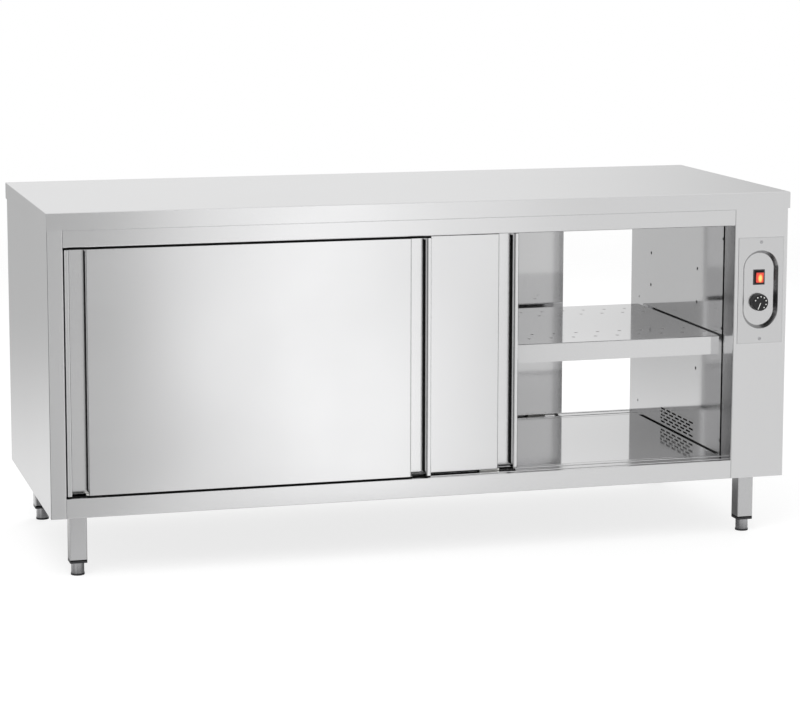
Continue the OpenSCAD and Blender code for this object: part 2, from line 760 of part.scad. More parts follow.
module rocker() color([0.86, 0.16, 0.08])
    translate([column_x - rocker_w / 2, rocker_y, switch_z]) rotate([90, 0, 90]) linear_extrude(rocker_w) {
        rotate(rocker_tilt / 2) intersection() {
            translate([-rocker_front, -rocker_l / 2 + rocker_edge])
                square([rocker_front + rocker_back, rocker_l - 2 * rocker_edge]);
            circle(r = rocker_l / 2 - rocker_edge, $fn = 48);
        }
    }

// Thermostat behind the dish, with the bush that the knob's spindle turns in
module thermostat() color(zinc) difference() {
    union() {
        box([column_x - thermo_w / 2, recess_floor_y + plate_t, knob_z - thermo_w / 2],
            [column_x + thermo_w / 2, recess_floor_y + plate_t + thermo_d, knob_z + thermo_w / 2]);
        rod_y(column_x, knob_z, spindle_d + 2 * bush_t, recess_floor_y, recess_floor_y + plate_t + join);
    }
    rod_y(column_x, knob_z, spindle_d + 2 * fit_gap, recess_floor_y - past,
        recess_floor_y + plate_t + spindle_l + spindle_end);
}
module control_knob() color(black)
    translate([column_x, recess_floor_y - knob_gap, knob_z]) rotate([90, 0, 0]) {
    r = knob_d / 2;
    rotate_extrude($fn = 64) polygon([
        [0, 0], [r, 0], [r - knob_taper, knob_h - knob_edge],
        for (a = [0:15:90]) [
            r - knob_taper - knob_edge + knob_edge * cos(a), knob_h - knob_edge + knob_edge * sin(a)
        ],
        [0, knob_h]
    ]);
    translate([0, 0, -knob_gap - plate_t - spindle_l])
        cylinder(d = spindle_d, h = knob_gap + plate_t + spindle_l + join);
}

// Cross-flow blower: spiral housing, bladed wheel, motor at the rear end and a heater in the duct
wheel_end_gap = 4;
blower_y0 = vent_mid - wheel_l / 2 - wheel_end_gap;
blower_y1 = vent_mid + wheel_l / 2 + wheel_end_gap;
scroll_sweep = 200;
tongue_share = 0.93;
tongue_lift = 6;
blade_t = 0.8;
blade_w = 7;
blade_inset = 4.5;
blade_lean = 30;
ring_t = 2;
shaft_out = 20;
shaft_front = 2;
foot_inset = 8;
function scroll_point(k) =
    let (
        a = -90 + scroll_sweep * k / scroll_n,
        drop = wheel_z - duct_z0,
        r = drop + (scroll_r - drop) * k / scroll_n
    )
    [wheel_x + r * cos(a), wheel_z + r * sin(a)];
scroll_path = concat([[duct_x, duct_z0]], [for (k = [0:scroll_n]) scroll_point(k)]);
tongue_path = [
    [wheel_x - scroll_r * tongue_share, wheel_z + tongue_lift],
    [wheel_x - scroll_r * tongue_share, duct_z1], [duct_x, duct_z1]
];
module end_plate(y0) difference() {
    union() {
        translate([0, y0 + end_plate_t, 0]) rotate([90, 0, 0]) linear_extrude(end_plate_t)
            polygon(concat(scroll_path, [[duct_x, duct_z1]]));
        box([wheel_x - scroll_r + foot_inset, y0, body_z0 + skin_t],
            [wheel_x + scroll_r, y0 + end_plate_t, wheel_z]);
        box([wheel_x - scroll_r + foot_inset, y0 - flange + end_plate_t, body_z0 + skin_t],
            [wheel_x + scroll_r, y0 + end_plate_t, body_z0 + skin_t + end_plate_t]);
    }
    rod_y(wheel_x, wheel_z, shaft_d + 2 * fit_gap, y0 - past, y0 + past);
    for (s = [-1, 1])
        rod_y(heater_x, heater_z + s * heater_bend, heater_d + 2 * hole_gap, y0 - past, y0 + past);
}
module blower_housing() color(zinc) {
    sheet_along_y_raw(scroll_path, scroll_t);
    sheet_along_y_raw(tongue_path, scroll_t);
    end_plate(blower_y0 - end_plate_t);
    end_plate(blower_y1);
}
module sheet_along_y_raw(p, t)
    translate([0, blower_y1 + join, 0]) rotate([90, 0, 0]) linear_extrude(blower_y1 - blower_y0 + 2 * join)
        polygon(sheet_outline([for (i = [len(p) - 1:-1:0]) p[i]], t));
module blower_wheel() color(black) {
    translate([wheel_x, vent_mid + wheel_l / 2, wheel_z]) rotate([90, 0, 0]) {
        linear_extrude(wheel_l) for (i = [0:blade_n - 1]) rotate(i * 360 / blade_n)
            translate([wheel_r - blade_inset, 0]) rotate(blade_lean) square([blade_w, blade_t], center = true);
        for (z = [0, (wheel_l - ring_t) / 2, wheel_l - ring_t])
            translate([0, 0, z]) cylinder(r = wheel_r, h = ring_t);
    }
    rod_y(wheel_x, wheel_z, shaft_d,
        blower_y0 - end_plate_t - shaft_front, blower_y1 + end_plate_t + shaft_out);
}
module blower_motor() color(zinc) difference() {
    rod_y(wheel_x, wheel_z, motor_d, blower_y1 + end_plate_t, blower_y1 + end_plate_t + motor_l);
    rod_y(wheel_x, wheel_z, shaft_d + 2 * fit_gap,
        blower_y1, blower_y1 + end_plate_t + shaft_out + shaft_front);
}
heater_in = 14;
heater_end = 16;
heater_tail = 12;
heater_x = duct_x + heater_in;
heater_z = (duct_z0 + duct_z1) / 2;
heater_bend = 11;
module heater_element() color(copper) {
    y_bend = blower_y1 - heater_end;
    for (s = [-1, 1])
        rod_y(heater_x, heater_z + s * heater_bend, heater_d, blower_y0 - end_plate_t - heater_tail, y_bend);
    translate([heater_x, y_bend, heater_z]) rotate([0, 0, 90]) rotate([90, 0, 0]) rotate([0, 0, -90])
        rotate_extrude(angle = 180) translate([heater_bend, 0]) circle(d = heater_d);
}

// Cable gland: threaded tube through the base panel, a hexagon above it and a domed nut below
module cable_gland() color(black) translate([column_x, gland_y, body_z0]) rotate([180, 0, 0]) difference() {
    union() {
        translate([0, 0, -gland_tail]) cylinder(d = gland_thread_d, h = gland_tail + gland_nut);
        translate([0, 0, -skin_t - gland_nut]) cylinder(d = gland_hex, h = gland_nut, $fn = 6);
        cylinder(d = gland_hex, h = gland_nut, $fn = 6);
        translate([0, 0, gland_nut]) cylinder(d1 = gland_hex - gland_round, d2 = gland_thread_d - gland_round,
            h = gland_reach - gland_nut);
    }
    translate([0, 0, -gland_tail - past]) cylinder(d = gland_bore_d, h = gland_tail + gland_reach + 2 * past);
}

// Doors: a hat-shaped skin with finger channels, a flat back, hangers above and shoes below
module door_place(rear, lane, x0) mirror([0, rear, 0]) translate([x0, lane_y(lane), 0]) children();
back_y = door_t - liner_t;
floor_y = back_y - liner_t;
function arc(cx, cy, a0, a1) = [
    for (k = [0:bend_n]) let (a = a0 + (a1 - a0) * k / bend_n) [cx + lip_r * cos(a), cy + lip_r * sin(a)]
];
in_l = lip_w + channel_w;
cap_inset = 1;
skin_half = concat(
    [[0, back_y]],
    arc(lip_r, lip_r, 180, 270),
    arc(lip_w - lip_r, lip_r, 270, 360),
    [[lip_w, floor_y], [in_l, floor_y]],
    arc(in_l + lip_r, lip_r, 180, 270)
);
function mirrored(p) = [for (i = [len(p) - 1:-1:0]) [door_w - p[i][0], p[i][1]]];
module door_skin() {
    translate([0, 0, door_z0]) linear_extrude(door_h)
        polygon(sheet_outline(concat(skin_half, mirrored(skin_half)), liner_t));
    for (z = [door_z0, door_z1 - liner_t]) {
        box([in_l + liner_t - join, liner_t - join, z], [door_w - in_l - liner_t + join, back_y, z + liner_t]);
        for (x = [liner_t - join, door_w - lip_w + liner_t - join])
            box([x, liner_t + cap_inset, z],
                [x + lip_w - 2 * liner_t + 2 * join, floor_y - cap_inset, z + liner_t]);
    }
}
module door_back() box([0, back_y, door_z0], [door_w, door_t, door_z1]);
hanger_xs = [hanger_inset, door_w - hanger_inset];
module hanger(x) translate([x, 0, 0]) {
    box([-hanger_w / 2, hanger_y, door_z1], [hanger_w / 2, hanger_y + hanger_t, axle_z + hanger_top]);
    box([-hanger_w / 2, hanger_y, door_z1], [hanger_w / 2, hanger_y + foot_plate_d, door_z1 + hanger_t]);
    rod_y(0, axle_z, axle_head_d, hanger_y - axle_head_t, hanger_y + join);
    rod_y(0, axle_z, axle_d, hanger_y, roller_y + roller_w / 2 + side_play + axle_end_t);
    rod_y(0, axle_z, axle_head_d, roller_y + roller_w / 2 + side_play,
        roller_y + roller_w / 2 + side_play + axle_end_t);
}
module shoe(x) translate([x, shoe_y, door_z0]) {
    box([-shoe_l / 2, -shoe_w / 2, -shoe_h], [shoe_l / 2, shoe_w / 2, 0]);
    box([-shoe_l / 2 + tongue_inset, -tongue_w / 2, -shoe_h - tongue_h],
        [shoe_l / 2 - tongue_inset, tongue_w / 2, -shoe_h + join]);
}
module door_hangers() for (x = hanger_xs) {
    color(zinc) hanger(x);
    color(nylon) shoe(x);
}
// Roller with a groove for the track's bead and a running bore
module roller(x) color(nylon) translate([x, roller_y, axle_z]) rotate([90, 0, 0]) rotate_extrude($fn = 48)
    polygon([
        [axle_d / 2 + fit_gap, -roller_w / 2], [roller_r, -roller_w / 2], [roller_r, -bead_w / 2 - groove_side],
        [groove_r, -bead_w / 2 - groove_play], [groove_r, bead_w / 2 + groove_play],
        [roller_r, bead_w / 2 + groove_side],
        [roller_r, roller_w / 2], [axle_d / 2 + fit_gap, roller_w / 2]
    ]);
x_front_outer = door_x_left;
x_front_inner = door_x_left + front_inner_shift;
x_rear_outer = door_x_left + rear_outer_shift;
x_rear_inner = door_x_left;

module door_front_outer_skin() color(steel) door_place(0, 0, x_front_outer) door_skin();
module door_front_outer_back() color(liner) door_place(0, 0, x_front_outer) door_back();
module door_front_outer_hangers() door_place(0, 0, x_front_outer) door_hangers();
module door_front_inner_skin() color(steel) door_place(0, 1, x_front_inner) door_skin();
module door_front_inner_back() color(liner) door_place(0, 1, x_front_inner) door_back();
module door_front_inner_hangers() door_place(0, 1, x_front_inner) door_hangers();
module door_rear_outer_skin() color(steel) door_place(1, 0, x_rear_outer) door_skin();
module door_rear_outer_back() color(liner) door_place(1, 0, x_rear_outer) door_back();
module door_rear_outer_hangers() door_place(1, 0, x_rear_outer) door_hangers();
module door_rear_inner_skin() color(steel) door_place(1, 1, x_rear_inner) door_skin();
module door_rear_inner_back() color(liner) door_place(1, 1, x_rear_inner) door_back();
module door_rear_inner_hangers() door_place(1, 1, x_rear_inner) door_hangers();
module roller_front_outer_left() door_place(0, 0, x_front_outer) roller(hanger_xs[0]);
module roller_front_outer_right() door_place(0, 0, x_front_outer) roller(hanger_xs[1]);
module roller_front_inner_left() door_place(0, 1, x_front_inner) roller(hanger_xs[0]);
module roller_front_inner_right() door_place(0, 1, x_front_inner) roller(hanger_xs[1]);
module roller_rear_outer_left() door_place(1, 0, x_rear_outer) roller(hanger_xs[0]);
module roller_rear_outer_right() door_place(1, 0, x_rear_outer) roller(hanger_xs[1]);
module roller_rear_inner_left() door_place(1, 1, x_rear_inner) roller(hanger_xs[0]);
module roller_rear_inner_right() door_place(1, 1, x_rear_inner) roller(hanger_xs[1]);

// Shelf: folded down on all four sides, deeper at front and rear, with a hat section welded under it
module shelf() color(liner) {
    sheet_along_x([
        [-shelf_y, shelf_z - shelf_rim], [-shelf_y, shelf_z], [shelf_y, shelf_z], [shelf_y, shelf_z - shelf_rim]
    ], liner_t, shelf_x0, shelf_x1);
    for (x = [shelf_x0, shelf_x1 - liner_t])
        box([x, shelf_y + liner_t - join, shelf_z - shelf_side_rim],
            [x + liner_t, -shelf_y - liner_t + join, shelf_z - liner_t + join]);
    for (s = [0, 1]) mirror([0, s, 0])
        box([shelf_x0, shelf_y + join, shelf_z - shelf_rim],
            [shelf_x1, shelf_y + flange, shelf_z - shelf_rim + liner_t]);
}
shelf_hat_end = 40;
shelf_hat_h = 18;
module shelf_stiffener() color(liner) translate([0, 0, shelf_z - liner_t])
    sheet_along_x(hat_path(hat_crown, hat_top, hat_flange, shelf_hat_h, liner_t), liner_t,
        shelf_x0 + shelf_hat_end, shelf_x1 - shelf_hat_end);

module foot_front_left() foot(leg_places[0]);
module foot_front_right() foot(leg_places[1]);
module foot_rear_left() foot(leg_places[2]);
module foot_rear_right() foot(leg_places[3]);

worktop();
worktop_stiffeners();
side_panel_left();
inner_wall_left();
inner_wall_right();
vent_grille();
column_front();
column_rear();
side_panel_right();
head_rail_front();
head_rail_rear();
sill_front();
sill_rear();
door_tracks();
floor_panel();
base_panel();
ceiling_panel();
shelf_pins();
panel_screws();
leg_front_left();
leg_front_right();
leg_rear_left();
leg_rear_right();
leg_caps();
control_plate();
switch_bezel();
thermostat();
blower_housing();
blower_motor();
heater_element();
cable_gland();
door_front_outer_skin();
door_front_outer_back();
door_front_outer_hangers();
door_front_inner_skin();
door_front_inner_back();
door_front_inner_hangers();
door_rear_outer_skin();
door_rear_outer_back();
door_rear_outer_hangers();
door_rear_inner_skin();
door_rear_inner_back();
door_rear_inner_hangers();
roller_front_outer_left();
roller_front_outer_right();
roller_front_inner_left();
roller_front_inner_right();
roller_rear_outer_left();
roller_rear_outer_right();
roller_rear_inner_left();
roller_rear_inner_right();
shelf();
shelf_stiffener();
foot_front_left();
foot_front_right();
foot_rear_left();
foot_rear_right();
control_knob();
rocker();
blower_wheel();
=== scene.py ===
"""Stainless plate warmer cabinet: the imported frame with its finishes, its small turned and moulded pieces,
and a studio."""

from math import cos, radians, sin

import bpy
import numpy as np
from mathutils import Matrix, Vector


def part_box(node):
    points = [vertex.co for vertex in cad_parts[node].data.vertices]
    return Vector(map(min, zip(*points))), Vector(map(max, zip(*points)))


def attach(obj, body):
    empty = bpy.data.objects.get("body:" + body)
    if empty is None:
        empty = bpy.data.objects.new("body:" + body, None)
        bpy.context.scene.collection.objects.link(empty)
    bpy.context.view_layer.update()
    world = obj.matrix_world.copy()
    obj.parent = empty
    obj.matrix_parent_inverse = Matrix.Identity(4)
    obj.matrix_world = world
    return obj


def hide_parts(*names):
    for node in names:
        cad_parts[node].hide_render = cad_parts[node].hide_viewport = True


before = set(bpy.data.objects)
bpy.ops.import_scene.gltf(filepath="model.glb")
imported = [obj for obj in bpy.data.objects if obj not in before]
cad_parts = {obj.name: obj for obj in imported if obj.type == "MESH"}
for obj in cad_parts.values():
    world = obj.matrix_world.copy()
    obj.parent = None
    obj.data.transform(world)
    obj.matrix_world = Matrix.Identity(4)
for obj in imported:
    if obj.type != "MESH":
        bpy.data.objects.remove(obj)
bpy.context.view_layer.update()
scene = bpy.context.scene
scene.view_settings.view_transform = "Standard"


# Camera: a long lens at eye height, left of the cabinet's middle, turned to the right and tipped down.
# The shift puts the cabinet where the photograph has it.
lens = bpy.data.cameras.new("camera")
lens.lens = 116.17
lens.sensor_width = 36
lens.shift_y = -0.10
camera = bpy.data.objects.new("camera", lens)
camera_at = (-1.7022, -6.0554, 1.5074)
yaw, tip, roll = radians(-15.875), radians(90 - 8.034), radians(0.119)
camera.matrix_world = (
    Matrix.Translation(camera_at)
    @ Matrix.Rotation(yaw, 4, "Z")
    @ Matrix.Rotation(tip, 4, "X")
    @ Matrix.Rotation(roll, 4, "Z")
)
scene.collection.objects.link(camera)
scene.camera = camera


# Studio sky: white to the camera, a soft even light to matt things, and to polished metal a ring of
# tall diffusers with softer light between them, which gives the sheet steel its broad gradients.
class Wire:
    """A socket in a node tree. Its operators add Math nodes, and node() adds any other node."""

    def __init__(self, tree, socket=None):
        self.tree = tree
        self.socket = socket

    def node(self, kind, settings=None, values=None, out=0):
        """Adds a node, makes its settings, gives its sockets values or links, and returns one output."""
        made = self.tree.nodes.new(kind)
        for name, value in (settings or {}).items():
            setattr(made, name, value)
        for name, value in (values or {}).items():
            if isinstance(value, Wire):
                self.tree.links.new(value.socket, made.inputs[name])
            else:
                made.inputs[name].default_value = value
        return Wire(self.tree, made.outputs[out] if made.outputs else None)

    def maths(self, operation, *values):
        """A Math node over this socket and the values after it."""
        return self.node("ShaderNodeMath", {"operation": operation}, dict(enumerate((self, *values))))

    def __add__(self, other):
        return self.maths("ADD", other)

    __radd__ = __add__

    def __sub__(self, other):
        return self.maths("SUBTRACT", other)

    def __rsub__(self, other):
        return self.node("ShaderNodeMath", {"operation": "SUBTRACT"}, {0: other, 1: self})

    def __mul__(self, other):
        return self.maths("MULTIPLY", other)

    __rmul__ = __mul__

    def __truediv__(self, other):
        return self.maths("DIVIDE", other)

    def step(self, low, high):
        """Rises smoothly from 0 at low to 1 at high, or falls where low is the larger."""
        return self.node(
            "ShaderNodeMapRange", {"interpolation_type": "SMOOTHSTEP"},
            {"Value": self, "From Min": low, "From Max": high, "To Min": 0.0, "To Max": 1.0},
        )

    def blend(self, low, high):
        """Mixes two colours, with this socket as the share of the second."""
        return self.node(
            "ShaderNodeMix", {"data_type": "RGBA"}, {"Factor": self, "A": low, "B": high}, out="Result"
        )

    def shade(self, first, second):
        """Mixes two shaders, with this socket as the share of the second."""
        return self.node("ShaderNodeMixShader", None, {0: self, 1: first, 2: second})

    def axis(self, name):
        """One measure of a place or a direction: X, Y or Z."""
        return self.node("ShaderNodeSeparateXYZ", None, {0: self}, out=name)

    def noise(self, scale, detail, **more):
        """Fractal noise over this place, scale being its cells in each metre."""
        values = {"Vector": self, "Scale": scale, "Detail": detail}
        return self.node("ShaderNodeTexNoise", None, {**values, **more})

    def bump(self, distance, **more):
        """A surface raised by this socket, by the distance in metres where the socket is 1."""
        values = {"Height": self, "Strength": 1.0, "Distance": distance}
        return self.node("ShaderNodeBump", None, {**values, **more})


def rays(wire):
    """Whether a ray comes from the camera, and whether it is mirrored by a glossy surface, each 0 or 1."""
    return [wire.node("ShaderNodeLightPath", out=name) for name in ("Is Camera Ray", "Is Glossy Ray")]


sky = bpy.data.worlds.new("studio_sky")
scene.world = sky
sky.use_nodes = True
sky.node_tree.nodes.clear()
air = Wire(sky.node_tree)
direction = air.node("ShaderNodeTexCoord", out="Generated")
height = direction.axis("Z")
level = direction.node("ShaderNodeVectorMath", {"operation": "MULTIPLY"}, {0: direction, 1: (1, 1, 0)})
level = level.node("ShaderNodeVectorMath", {"operation": "NORMALIZE"}, {0: level})


def diffuser(azimuth, inner, outer):
    """1 within inner degrees of an azimuth, counted from the front to the right, and 0 beyond outer."""
    toward = (sin(radians(azimuth)), -cos(radians(azimuth)), 0)
    closeness = level.node(
        "ShaderNodeVectorMath", {"operation": "DOT_PRODUCT"}, {0: level, 1: toward}, out="Value"
    )
    return closeness.step(cos(radians(outer)), cos(radians(inner)))


# Each row is a diffuser's shine, azimuth, inner and outer half width, the last three in degrees.
ring = 0.42
for shine, azimuth, inner, outer in (
    (1.05, 14.0, 0.3, 3.45),
    (0.33, 40, 18.7, 25.7),
    (0.32, 80, 10, 30),
    (0.42, -45, 8, 26),
    (0.32, -114, 10, 22),
    (0.15, -155, 8, 24),
    (0.32, 128, 8, 16),
):
    ring = ring + shine * diffuser(azimuth, inner, outer)
# These fade in over a height, given as the direction's Z where they start and where they are full.
for shine, azimuth, inner, outer, start, full in (
    (0.42, 174, 8, 24, -0.09, 0.06),
    (0.34, -170, 12, 24, -0.15, -0.22),
    (0.1, -28, 10, 20, 0.02, -0.03),
):
    ring = ring + shine * diffuser(azimuth, inner, outer) * height.step(start, full)
ceiling = 0.85
ring = ring + (ceiling - ring) * height.step(0.25, 0.7)
# Black flags take their share of the light that falls in from some sides.
rear_left = diffuser(-157, 8, 16) * height.step(0.0, 0.06) * height.step(0.5, 0.35)
front_right = diffuser(22, 6, 14) * height.step(0.02, 0.08) * height.step(0.5, 0.35)
left = diffuser(-80, 10, 18) * height.step(0.03, -0.02)
for share, flag in ((0.45, rear_left), (0.1, front_right), (0.7, left)):
    ring = ring * (1 - share * flag)
camera_ray, glossy_ray = rays(air)
even = 0.62
strength = even + (ring - even) * glossy_ray
strength = strength + (1 - strength) * camera_ray
glow = air.node("ShaderNodeBackground", None, {"Color": (1, 1, 1, 1), "Strength": strength})
air.node("ShaderNodeOutputWorld", None, {"Surface": glow})


# Studio floor: a pale disc that takes the cabinet's shadow and melts into the white at its edge.
# Polished metal sees only the part of it near the cabinet, and sees a painted shadow on it beneath the
# cabinet.
def material(name):
    """An empty material, and the place on its object as a wire in its node tree."""
    made = bpy.data.materials.new(name)
    made.use_nodes = True
    made.node_tree.nodes.clear()
    return made, Wire(made.node_tree).node("ShaderNodeTexCoord", out="Object")


def close(surface):
    """Leads a finished surface to its material's output."""
    surface.node("ShaderNodeOutputMaterial", None, {"Surface": surface})


floor_radius, floor_z, floor_corners = 9, -0.0006, 96
around = np.linspace(0, 2 * np.pi, floor_corners, endpoint=False)
rim = [floor_radius * np.cos(around), floor_radius * np.sin(around), np.full(floor_corners, floor_z)]
floor_mesh = bpy.data.meshes.new("studio_floor")
floor_mesh.from_pydata(np.stack(rim, 1).tolist(), [], [list(range(floor_corners))])
floor = bpy.data.objects.new("studio_floor", floor_mesh)
scene.collection.objects.link(floor)
floor_paint, place = material("studio_floor")
away = place.node("ShaderNodeVectorMath", {"operation": "LENGTH"}, {0: place}, out="Value")
camera_ray, glossy_ray = rays(place)
aside_x, aside_y = (place.axis(name).maths("ABSOLUTE") for name in "XY")
shadow_beneath = aside_x.step(0.98, 0.82) * aside_y.step(0.42, 0.28)
white = (1, 1, 1, 1)
matt = place.node("ShaderNodeBsdfDiffuse", None, {"Color": (0.86, 0.86, 0.86, 1)})
lit = place.node("ShaderNodeEmission", None, {"Color": white, "Strength": 1.12})
# Painted shadow: the floor that polished metal sees is darker beneath the cabinet.
mirrored = place.node("ShaderNodeEmission", None, {"Color": white, "Strength": 0.72 - 0.6 * shadow_beneath})
lit_share, mirrored_share = 0.68, 0.9
paper = (camera_ray * lit_share).shade(matt, lit)
paper = (glossy_ray * mirrored_share).shade(paper, mirrored)
# It fades from 3.2 to 7 m away from the middle, and to polished metal from 0.75 to 1.3 m.
fade = away.step(3.2 - 2.45 * glossy_ray, 7.0 - 5.7 * glossy_ray)
close(fade.shade(paper, place.node("ShaderNodeBsdfTransparent", None, {"Color": white})))
floor_mesh.materials.append(floor_paint)


# Studio lamps: one wide soft lamp over the front left and a weaker one over the rear right.
# They light what is matt and leave the metal to the ring of diffusers.
def lamp(name, at, size, power):
    """A square lamp of a size in metres and a power in watts, turned towards the cabinet's middle."""
    light = bpy.data.lights.new(name, "AREA")
    light.shape = "SQUARE"
    light.size = size
    light.energy = power
    made = bpy.data.objects.new(name, light)
    stand, middle = Matrix.Translation(at), Matrix.Translation((0, 0, 0.4))
    aim = middle.translation - stand.translation
    made.matrix_world = stand @ aim.to_track_quat("-Z", "Y").to_matrix().to_4x4()
    made.visible_glossy = False
    scene.collection.objects.link(made)


lamp("lamp_front", (-1.6, -2.6, 3.4), 2.8, 130)
lamp("lamp_rear", (1.8, 2.4, 3.2), 2.8, 60)


# Worktop: a tray of brushed stainless sheet folded down on all sides, welded at its corners.
# Hat sections are glued and spot welded under it, and it rests on the head rails.
def dress(finish, *names):
    """Gives CAD nodes a finish through their objects' material slots."""
    for name in names:
        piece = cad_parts[name]
        if not piece.material_slots:
            piece.data.materials.append(None)
        for held in piece.material_slots:
            held.material = finish


def sheet_steel(name, grain, colour, gloss, brushing, wave, smear=0.05, dark=None, metal=1.0):
    """Rolled sheet: streaks along the grain, the grain being the noise's scale on each axis in 1/m, the
    depth of the brushing and of the sheet's slow waves in metres, and cloudy smears in the gloss. Dark gives
    the share of painted shade, in black, at a place, and metal is below 1 where a little matt light belongs
    in the sheet."""
    made, place = material(name)
    along = place.node("ShaderNodeMapping", None, {"Vector": place, "Scale": grain})
    streak = along.noise(1.0, 3.0, Roughness=0.6)
    cloud = place.noise(3.2, 4.0)
    waved = place.noise(1.3, 1.0).bump(wave)
    low, black = tuple(0.95 * c for c in colour) + (1,), (0.008, 0.008, 0.008, 1)
    tint = streak.blend(low, colour + (1,))
    if dark:
        tint = dark(place).blend(tint, black)
    close(place.node("ShaderNodeBsdfPrincipled", None, {
        "Base Color": tint,
        "Metallic": metal,
        "Roughness": gloss + smear * (cloud - 0.5) + 0.04 * (streak - 0.5),
        "Normal": streak.bump(brushing, Normal=waved),
    }))
    return made


along_x, along_y, along_z = (5, 1300, 1300), (1300, 5, 1300), (1300, 1300, 5)
satin_along = sheet_steel("satin_steel_along", along_x, (0.83, 0.83, 0.835), 0.17, 9e-6, 0.004)
dress(satin_along, "worktop")
bright_across = sheet_steel("bright_steel_across", along_y, (0.74, 0.74, 0.75), 0.14, 3e-6, 0.002)
dress(bright_across, "worktop_stiffeners")


# Body: left side with its stiles, control column, right cover, head rails and sills, all of satin sheet.
# The sheets are folded and spot welded, and their seams show as fine dark lines.
satin_upright = sheet_steel("satin_steel_upright", along_z, (0.83, 0.83, 0.835), 0.19, 5e-6, 0.003)
dress(satin_upright, "side_panel_left", "column_front", "column_rear", "side_panel_right")
dress(satin_along, "head_rail_front", "head_rail_rear", "sill_front", "sill_rear", "base_panel")


# Compartment: floor, ceiling and side walls of bright sheet, smoother than the outside and screwed in.
# The slotted plate in the right wall lets the blower's hot air in.
bright = {"colour": (0.82, 0.82, 0.825), "metal": 0.93}
smooth = {"gloss": 0.07, "brushing": 1.2e-6, "wave": 0.0016, "smear": 0.03}
bright_along = sheet_steel("bright_steel_along", along_x, **bright, **smooth)
bright_upright = sheet_steel("bright_steel_upright", along_z, **bright, **smooth)
dress(bright_along, "floor_panel", "ceiling_panel")
dress(bright_upright, "inner_wall_left", "inner_wall_right", "vent_grille")


# Doors: hat-shaped skins with a finger channel at both ends, closed by a flat back sheet.
# They hang on grooved nylon rollers, and nylon shoes run in the sill's grooves.
door_lo, door_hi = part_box("door_front_outer_skin")
rim_shade_start, rim_shade_full = 0.0007, 0.0004


def door_rim_shade(place):
    """Painted shade, in black, on the turned-in rims at a door's top and bottom, for the shade in the gaps
    there.
    """
    up = place.axis("Z")
    lower = up.step(door_lo.z + rim_shade_start, door_lo.z + rim_shade_full)
    return lower + up.step(door_hi.z - rim_shade_start, door_hi.z - rim_shade_full)


# Door steel: black painted shade on its top and bottom rims.
door_steel = sheet_steel("door_steel", along_x, (0.84, 0.84, 0.845), 0.17, 9e-6, 0.006, dark=door_rim_shade)
door_names = ["door_front_outer", "door_front_inner", "door_rear_outer", "door_rear_inner"]
dress(door_steel, *(name + "_skin" for name in door_names))
dress(bright_along, *(name + "_back" for name in door_names))


def fine_plastic(place, colour, gloss):
    """Moulded plastic: a fine spark-eroded grain and slight unevenness in its colour."""
    pores = place.noise(2600.0, 2.0)
    cloud = place.noise(60.0, 3.0)
    low = tuple(0.88 * c for c in colour) + (1,)
    return place.node("ShaderNodeBsdfPrincipled", None, {
        "Base Color": cloud.blend(low, colour + (1,)),
        "Roughness": gloss + 0.12 * (cloud - 0.5),
        "Normal": pores.bump(6e-6),
    })


def plain_metal(place, colour, gloss):
    """Plated or cast metal: spangle in its gloss and colour, and a faint pitting."""
    spangle = place.node("ShaderNodeTexVoronoi", None, {"Vector": place, "Scale": 260.0})
    cloud = place.noise(90.0, 4.0)
    low = tuple(0.86 * c for c in colour) + (1,)
    return place.node("ShaderNodeBsdfPrincipled", None, {
        "Base Color": spangle.blend(low, colour + (1,)),
        "Metallic": 1.0,
        "Roughness": gloss + 0.1 * (cloud - 0.5) + 0.05 * spangle,
        "Normal": cloud.bump(4e-5),
    })


def all_over(name, kind, colour, gloss):
    """A material that is of one kind, fine_plastic or plain_metal, all over."""
    made, place = material(name)
    close(kind(place, colour, gloss))
    return made


nylon_white, zinc_grey = (0.80, 0.80, 0.77), (0.66, 0.67, 0.69)
nylon = all_over("nylon", fine_plastic, nylon_white, 0.42)
for name in door_names:
    dress(nylon, "roller_" + name[5:] + "_left", "roller_" + name[5:] + "_right")
hanger_finish, place = material("hanger_zinc_and_nylon")
door_middle = (0.48, 0.52)
shoe, hanger = fine_plastic(place, nylon_white, 0.42), plain_metal(place, zinc_grey, 0.34)
close(place.axis("Z").step(*door_middle).shade(shoe, hanger))
dress(hanger_finish, *(name + "_hangers" for name in door_names))


# Tracks: galvanised hooked rails under the head rails. Shelf pins, thermostat and blower are zinc plated
# as well, and the blower's housing is dulled by the heat.
zinc = all_over("zinc_plated", plain_metal, zinc_grey, 0.32)
dress(zinc, "door_tracks", "shelf_pins", "thermostat", "blower_motor")
hot_zinc = all_over("zinc_plated_dulled", plain_metal, (0.16, 0.16, 0.165), 0.45)
dress(hot_zinc, "blower_housing")


# Shelf: bright sheet folded down on all sides, lifted in over the pins. A hat section is spot welded
# under it, and each weld leaves a small dull dimple in the top.
shelf_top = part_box("shelf")[1].z
shelf_steel, place = material("shelf_steel")
streak = place.node("ShaderNodeMapping", None, {"Vector": place, "Scale": along_x}).noise(1.0, 3.0)
cloud = place.noise(3.2, 4.0)
weld_pitch, weld_edge, weld_core = 0.057, 0.0055, 0.0030
row_middle, row_offset = 0.17, 0.031
skin_start, skin_full = shelf_top - 0.001, shelf_top - 0.0005
past_zero = 10.0  # keeps what goes into the ping-pong above 0
off_middle = place.axis("Y").maths("ABSOLUTE")
staggered = off_middle.maths("GREATER_THAN", row_middle)
weld_x = (place.axis("X") + past_zero + staggered * weld_pitch / 2).maths("PINGPONG", weld_pitch / 2)
weld_y = ((off_middle - row_middle).maths("ABSOLUTE") - row_offset).maths("ABSOLUTE")
weld_r = (weld_x * weld_x + weld_y * weld_y).maths("SQRT")
weld = weld_r.step(weld_edge, weld_core) * place.axis("Z").step(skin_start, skin_full)
weld_colour, dimple_depth = (0.30, 0.29, 0.28, 1), 0.0004
dimple = (1 - weld).bump(dimple_depth)
